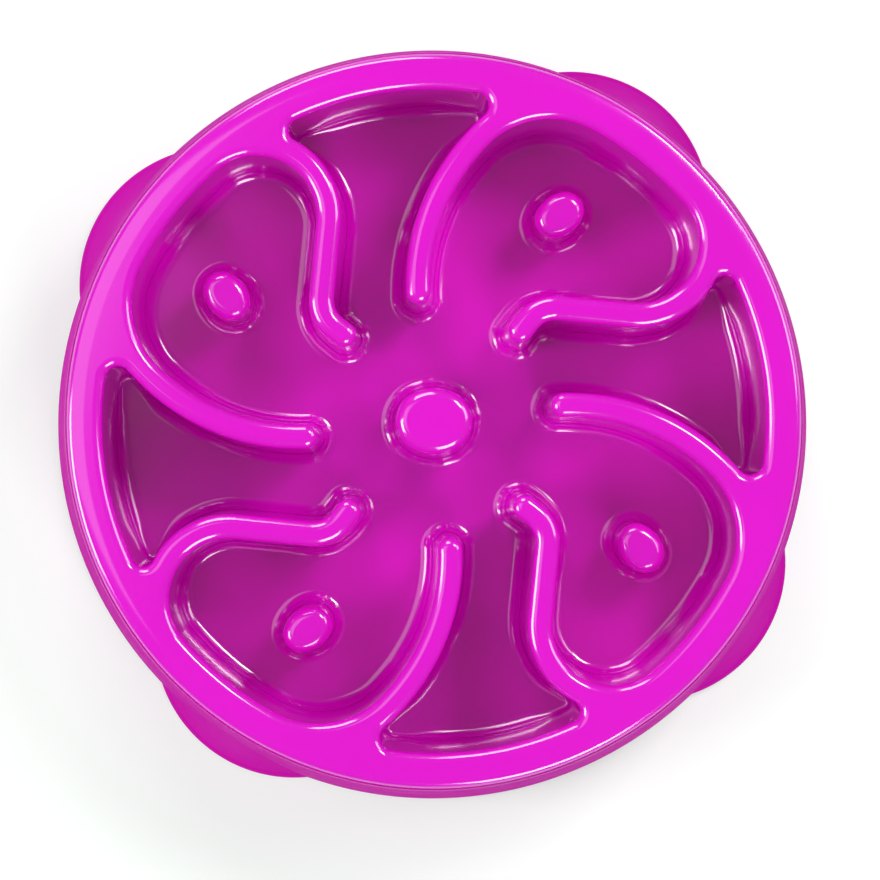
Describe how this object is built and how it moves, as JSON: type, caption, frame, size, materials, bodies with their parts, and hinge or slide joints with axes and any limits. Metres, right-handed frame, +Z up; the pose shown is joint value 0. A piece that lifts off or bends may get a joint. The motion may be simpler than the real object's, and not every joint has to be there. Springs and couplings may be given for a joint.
{
  "type": "slow feeder bowl",
  "caption": "Round slow feeder bowl for dogs: a glossy tray with curved ridges in a pinwheel round a centre boss, welded to a flared satin base with rubber feet.",
  "frame": {"origin": "centre of the footprint, on the surface the bowl stands on", "axes": "+Z up through the middle of the bowl, +X to the right and +Y away from the viewer in the picture"},
  "size_m": [0.2914, 0.2914, 0.07],
  "materials": {
    "gloss_plastic": "glossy injection-moulded plastic, dyed through, magenta",
    "matte_plastic": "satin injection-moulded plastic, dyed through, deeper magenta",
    "rubber": "matt dark grey rubber"
  },
  "bodies": {
    "root": {"feeding_tray": "gloss_plastic", "base_pan": "matte_plastic", "foot_pad_back_right": "rubber", "foot_pad_back_left": "rubber", "foot_pad_front_left": "rubber", "foot_pad_front_right": "rubber"}
  },
  "joints": []
}
